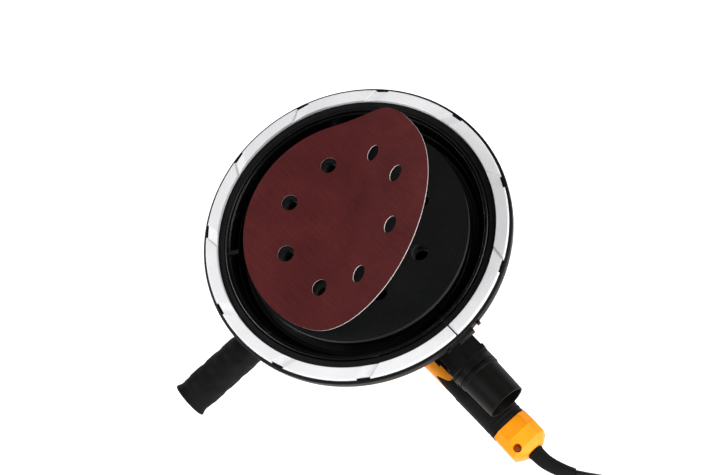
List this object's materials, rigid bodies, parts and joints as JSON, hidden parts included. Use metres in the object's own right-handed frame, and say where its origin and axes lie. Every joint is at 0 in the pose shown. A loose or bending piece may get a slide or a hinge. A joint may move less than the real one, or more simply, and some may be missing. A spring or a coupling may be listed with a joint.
{
  "type": "orbital sander",
  "caption": "Corded random-orbit sander lying on its back: round sprung suction skirt with a split metal skid ring, hook pad with a half-peeled perforated disc, rear and side handles.",
  "frame": {"origin": "the point of the resting face (flat back of the motor end cap) that lies under the spindle axis", "axes": "+Z along the spindle towards the sanding face, +X towards the end of the rear handle, -Y along the side handle"},
  "size_m": [0.5046, 0.3151, 0.2133],
  "materials": {
    "black_plastic": "moulded, fine texture",
    "black_gloss": "moulded, polished",
    "yellow_plastic": "moulded, semi-gloss orange-yellow",
    "grip_rubber": "soft-touch, matt",
    "cord_rubber": "smooth sheath",
    "satin_metal": "stamped, satin",
    "steel": "zinc-plated or ground",
    "gear_steel": "machined",
    "cast_alloy": "die-cast",
    "core_steel": "stacked laminations",
    "copper": "turned copper",
    "carbon": "pressed carbon",
    "pad_foam": "closed-cell foam",
    "hook_face": "moulded hooks",
    "abrasive": "coated abrasive with paper edge",
    "brass": "machined",
    "circuit_board": "laminate"
  },
  "bodies": {
    "housing": {"head_shell": "black_plastic", "motor_end_cap": "black_plastic", "dust_duct": "black_plastic", "brush_cap_left": "black_plastic", "brush_cap_right": "black_plastic", "switch_body": "black_plastic", "inner_shroud": "black_gloss", "motor_housing": "yellow_plastic", "handle_shell_left": "yellow_plastic", "handle_shell_right": "yellow_plastic", "end_cap": "yellow_plastic", "grip_overmould": "grip_rubber", "strain_relief": "grip_rubber", "power_cord": "cord_rubber", "cord_coil": "cord_rubber", "cord_tail": "cord_rubber", "plug_body": "cord_rubber", "spindle_bearing_front": "steel", "spindle_bearing_rear": "steel", "motor_bearing_front": "steel", "motor_bearing_rear": "steel", "end_cap_screw": "steel", "floor_screw_1": "steel", "floor_screw_2": "steel", "floor_screw_3": "steel", "floor_screw_4": "steel", "floor_screw_5": "steel", "floor_screw_6": "steel", "skirt_spring_1": "steel", "skirt_spring_2": "steel", "skirt_spring_3": "steel", "gear_housing": "cast_alloy", "gear_cover": "cast_alloy", "stator_core": "core_steel", "carbon_brush_left": "carbon", "carbon_brush_right": "carbon", "plug_pin_left": "brass", "plug_pin_right": "brass", "speed_control_board": "circuit_board"},
    "spindle": {"spindle": "steel", "pad_screw": "steel", "spindle_gear": "gear_steel", "counterweight": "steel"},
    "pad": {"hook_face": "hook_face", "foam_pad": "pad_foam", "backing_plate": "cast_alloy", "pad_bearing": "steel"},
    "disc": {"abrasive_disc": "abrasive"},
    "armature": {"armature_shaft": "steel", "armature_core": "core_steel", "commutator": "copper", "cooling_fan": "black_plastic"},
    "skirt": {"skirt_ring": "black_plastic", "skid_ring": "satin_metal"},
    "switch_slider": {"switch_slider": "black_plastic"},
    "speed_dial": {"speed_dial": "black_plastic"},
    "dust_outlet_tube": {"dust_outlet_tube": "black_plastic"},
    "side_handle": {"side_grip": "grip_rubber", "side_stud": "steel"}
  },
  "joints": [
    {"name": "spindle_spin", "type": "hinge", "parent": "housing", "child": "spindle", "pos_m": [0, 0, 0.1], "axis": [0, 0, 1], "continuous": true},
    {"name": "armature_spin", "type": "hinge", "parent": "housing", "child": "armature", "pos_m": [0.032, -0.011, 0.05], "axis": [0, 0, 1], "continuous": true},
    {"name": "pad_spin", "type": "hinge", "parent": "spindle", "child": "pad", "pos_m": [0.0025, 0, 0.14], "axis": [0, 0, 1], "continuous": true},
    {"name": "disc_lift", "type": "slide", "parent": "pad", "child": "disc", "axis": [0, 0, 1], "range_m": [0, 0.05]},
    {"name": "skirt_float", "type": "slide", "parent": "housing", "child": "skirt", "axis": [0, 0, 1], "range_m": [-0.003, 0], "stiffness_N_per_m": 2000, "springref_m": 0.002, "deforming": ["skirt_spring_1", "skirt_spring_2", "skirt_spring_3"]},
    {"name": "switch_slide", "type": "slide", "parent": "housing", "child": "switch_slider", "axis": [1, 0, 0], "range_m": [0, 0.005]},
    {"name": "dial_turn", "type": "hinge", "parent": "housing", "child": "speed_dial", "pos_m": [0.117, -0.011, 0.0505], "axis": [0, 1, 0], "range_deg": [-150, 150]},
    {"name": "outlet_swivel", "type": "hinge", "parent": "housing", "child": "dust_outlet_tube", "pos_m": [0.15, -0.0035, 0.102], "axis": [1, 0, 0], "continuous": true},
    {"name": "side_handle_removal", "type": "slide", "parent": "housing", "child": "side_handle", "axis": [0, -1, 0], "range_m": [0, 0.05]}
  ],
  "couplings": [
    {"joint": "armature_spin", "follows": "spindle_spin", "ratio": -4}
  ]
}
